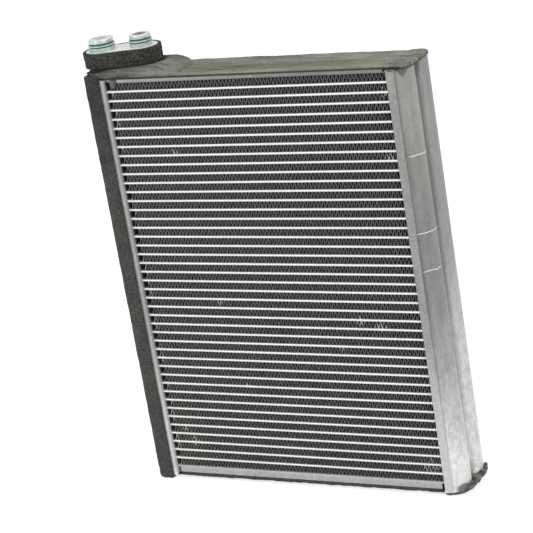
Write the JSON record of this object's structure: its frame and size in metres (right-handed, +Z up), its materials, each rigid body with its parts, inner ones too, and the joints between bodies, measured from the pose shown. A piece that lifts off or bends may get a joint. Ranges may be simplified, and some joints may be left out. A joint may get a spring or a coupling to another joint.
{
  "type": "evaporator core",
  "caption": "Upright air-conditioning evaporator core: flat tubes and corrugated fins between two tanks, foam strips round the edges and a connector block with pipe stubs.",
  "frame": {"origin": "on the underside of the lower foam, in the middle of the core's width between the header plates and in the middle of its depth", "axes": "+Z up, along the tanks; +X along the tubes, toward the bare tank; +Y from the front face to the rear face"},
  "size_m": [0.2225, 0.046, 0.286],
  "materials": {
    "tube_aluminium": "bright brazed aluminium",
    "fin_aluminium": "thin corrugated strip, dull in its folds",
    "header_aluminium": "brazed aluminium with a grainy face",
    "tank_aluminium": "satin aluminium with faint streaks",
    "inner_aluminium": "plain aluminium",
    "plate_aluminium": "brazed aluminium",
    "connector_aluminium": "machined aluminium with fine grey specks",
    "stub_aluminium": "turned aluminium",
    "seal_rubber": "glossy green rubber",
    "tank_foam": "fine-grained closed-cell foam, charcoal",
    "upper_foam": "compressed foam, grey with an olive tinge",
    "lower_foam": "fine-grained closed-cell foam, charcoal",
    "connector_foam": "fine-grained closed-cell foam, charcoal"
  },
  "bodies": {
    "root": {"front_tubes": "tube_aluminium", "rear_tubes": "tube_aluminium", "lower_fins": "fin_aluminium", "middle_fins": "fin_aluminium", "upper_fins": "fin_aluminium", "left_header_plate": "header_aluminium", "right_header_plate": "header_aluminium", "left_tank": "tank_aluminium", "right_tank": "tank_aluminium", "left_lower_cap": "tank_aluminium", "left_upper_cap": "tank_aluminium", "right_lower_cap": "tank_aluminium", "right_upper_cap": "tank_aluminium", "right_front_partition_1": "inner_aluminium", "right_front_partition_2": "inner_aluminium", "right_front_partition_3": "inner_aluminium", "right_rear_partition": "inner_aluminium", "left_front_partition": "inner_aluminium", "lower_side_plate": "plate_aluminium", "upper_side_plate": "plate_aluminium", "passage_plate": "plate_aluminium", "passage_cover": "plate_aluminium", "connector_block": "connector_aluminium", "suction_stub": "stub_aluminium", "liquid_stub": "stub_aluminium", "suction_seal": "seal_rubber", "liquid_seal": "seal_rubber", "left_tank_foam": "tank_foam", "upper_foam": "upper_foam", "lower_foam": "lower_foam", "connector_foam": "connector_foam"}
  },
  "joints": []
}
